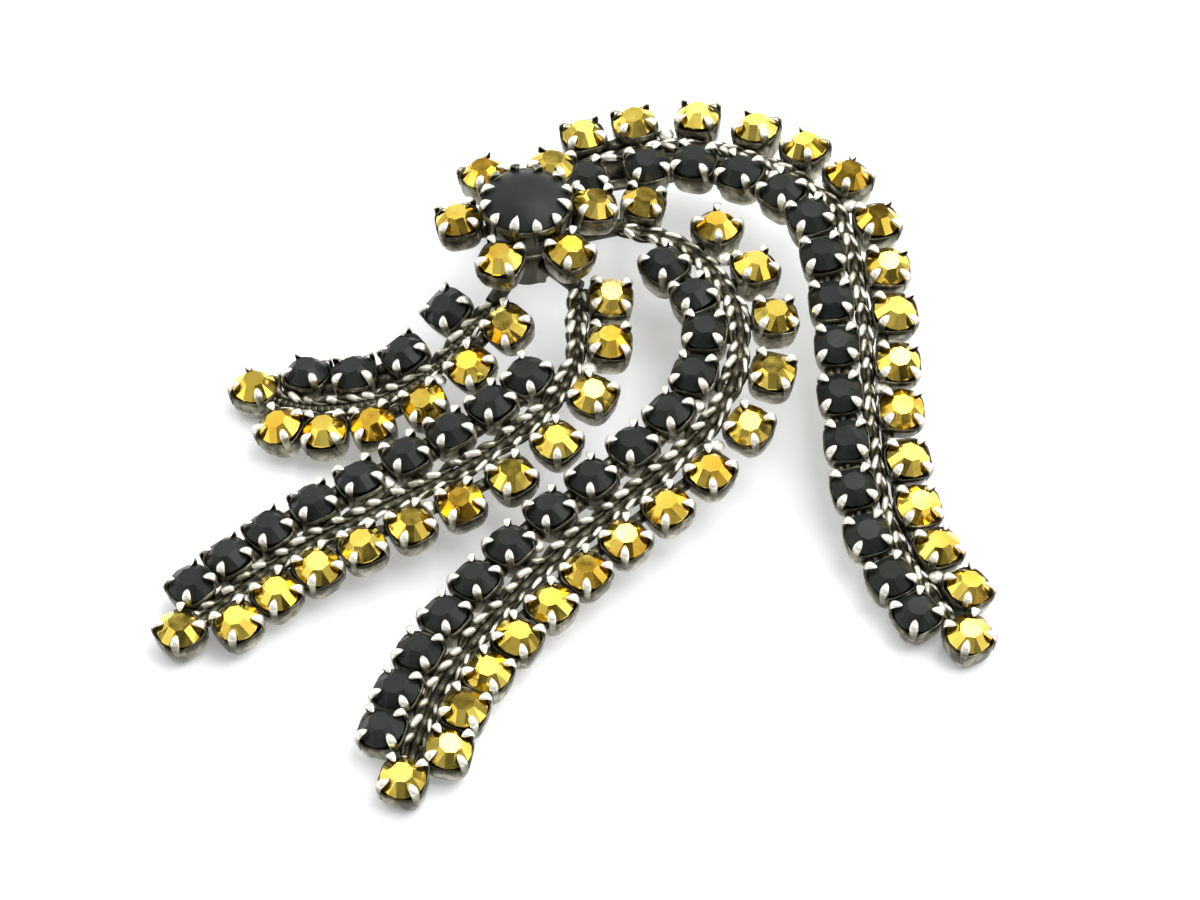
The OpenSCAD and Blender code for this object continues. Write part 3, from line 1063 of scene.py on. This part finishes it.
class BROOCH_OT_black_stones(bpy.types.Operator):
    """Builds the black stones of the streamers"""

    bl_idname = "brooch.black_stones"
    bl_label = "Black stones"

    def execute(self, context):
        stone = cut_stone_template()
        material = black_glass("black_cut_glass", 0.3, 0.45)
        for name in STREAMERS:
            seats = row_seats(name, "black", RIGHT)
            node = f"{name}_black_stones"
            check_seats(node, seats)
            bm = bmesh.new()
            add_copies(bm, stone, set_by_hand(seats))
            make_piece(f"{name}_black_cut_stones", bm, material, [node])
        return {"FINISHED"}


class BROOCH_OT_settings(bpy.types.Operator):
    """Builds the cups, claws and twisted wires of the streamers"""

    bl_idname = "brooch.settings"
    bl_label = "Streamer settings"

    def execute(self, context):
        metal = context.scene.brooch_metal
        cup = cup_template(metal.cup_depth)
        deep_cup = cup_template(metal.cup_deep)
        material = antiqued_silver()
        for name in STREAMERS:
            route = Route(name)
            bm = bmesh.new()
            seats = [seat for row, side in ROWS for seat in row_seats(name, row, side)]
            for seat in (*seats, tip_seat(name)):
                add_copies(bm, deep_cup if seat.translation.z > metal.high_cup else cup, [seat])
            wires = bmesh.new()
            add_wires(wires, route)
            add_root(wires, route)
            add_struts(wires, name, route)
            add_links(wires, name)
            add_solder(wires, name, route)
            scratch = as_mesh(wires, f"{name}_wires")
            bm.from_mesh(scratch)
            bpy.data.meshes.remove(scratch)
            make_piece(f"{name}_claw_setting", bm, material, [f"{name}_setting"])
        return {"FINISHED"}


class BROOCH_OT_flower(bpy.types.Operator):
    """Builds the flower's centre stone, collar, petal cups and post"""

    bl_idname = "brooch.flower"
    bl_label = "Flower"

    def execute(self, context):
        low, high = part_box("centre_stone")
        radius = (high.x - low.x) / 2
        centre = flower_centre()
        seat = Matrix.Translation(centre)
        bm = dome_stone(radius)
        bmesh.ops.transform(bm, matrix=seat, verts=bm.verts)
        glass = black_glass("black_dome_glass", 0.42, 0.5)
        make_piece("centre_dome_stone", bm, glass, ["centre_stone"])

        collar = radius + 0.3 * MM
        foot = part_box("flower_setting")[0].z - centre.z
        bm = bmesh.new()
        add_collar(bm, collar)
        add_prongs(bm, radius, collar)
        add_post_and_arms(bm, foot, collar)
        finish_faces(bm)
        bmesh.ops.transform(bm, matrix=seat, verts=bm.verts)
        add_copies(bm, cup_template(context.scene.brooch_metal.cup_depth), petal_seats())
        material = bpy.data.materials["antiqued_silver"]
        make_piece("flower_claw_setting", bm, material, ["flower_setting"])
        return {"FINISHED"}


class BROOCH_OT_pin(bpy.types.Operator):
    """Builds the pin on the brooch's back, with its hinge, wire and catch"""

    bl_idname = "brooch.pin"
    bl_label = "Pin"

    def execute(self, context):
        pin = context.scene.brooch_pin
        low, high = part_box("pin_back")
        under = high.z - pin.plate
        bm = bmesh.new()
        add_plate(bm, under, high.z)
        add_pin_wire(bm)
        add_catch(bm, under)
        # Turned behind the flower and the arch
        place = Matrix.Translation((pin.middle_x, pin.middle_y, 0)) @ Matrix.Rotation(pin.turn, 4, "Z")
        bmesh.ops.transform(bm, matrix=place, verts=bm.verts)
        add_tongue(bm, low.y, under, high.z)
        finish_faces(bm, smooth=False)
        shine(bm, 0.12)
        material = bpy.data.materials["antiqued_silver"]
        make_piece("pin_with_catch", bm, material, ["pin_back"])
        return {"FINISHED"}


class BROOCH_OT_stage(bpy.types.Operator):
    """Lays out the pale surface, the studio light and the camera"""

    bl_idname = "brooch.stage"
    bl_label = "Stage"

    def execute(self, context):
        lay_floor()
        hang_softbox()
        light_room()
        set_camera()
        context.scene.view_settings.view_transform = "Standard"
        return {"FINISHED"}


class BROOCH_PT_panel(bpy.types.Panel):
    """Sizes, colours and steps of the brooch"""

    bl_idname = "BROOCH_PT_panel"
    bl_label = "Flower Brooch"
    bl_space_type = "VIEW_3D"
    bl_region_type = "UI"
    bl_category = "Brooch"

    def draw(self, context):
        for group in GROUPS:
            box = self.layout.box()
            values = getattr(context.scene, group)
            for key in values.__annotations__:
                box.prop(values, key)
        for operator in OPERATORS:
            self.layout.operator(operator.bl_idname)


GROUPS = {
    "brooch_stones": BROOCH_PG_stones,
    "brooch_metal": BROOCH_PG_metal,
    "brooch_pin": BROOCH_PG_pin,
    "brooch_colours": BROOCH_PG_colours,
    "brooch_stage": BROOCH_PG_stage,
}
OPERATORS = (
    BROOCH_OT_gold_stones,
    BROOCH_OT_black_stones,
    BROOCH_OT_settings,
    BROOCH_OT_flower,
    BROOCH_OT_pin,
    BROOCH_OT_stage,
)


def register():
    for name, group in GROUPS.items():
        bpy.utils.register_class(group)
        setattr(bpy.types.Scene, name, PointerProperty(type=group))
    for operator in OPERATORS:
        bpy.utils.register_class(operator)
    bpy.utils.register_class(BROOCH_PT_panel)


def unregister():
    bpy.utils.unregister_class(BROOCH_PT_panel)
    for operator in reversed(OPERATORS):
        bpy.utils.unregister_class(operator)
    for name, group in GROUPS.items():
        delattr(bpy.types.Scene, name)
        bpy.utils.unregister_class(group)


def main():
    register()
    bpy.ops.brooch.gold_stones()
    bpy.ops.brooch.black_stones()
    bpy.ops.brooch.settings()
    bpy.ops.brooch.flower()
    bpy.ops.brooch.pin()
    bpy.ops.brooch.stage()


if __name__ == "__main__":
    main()
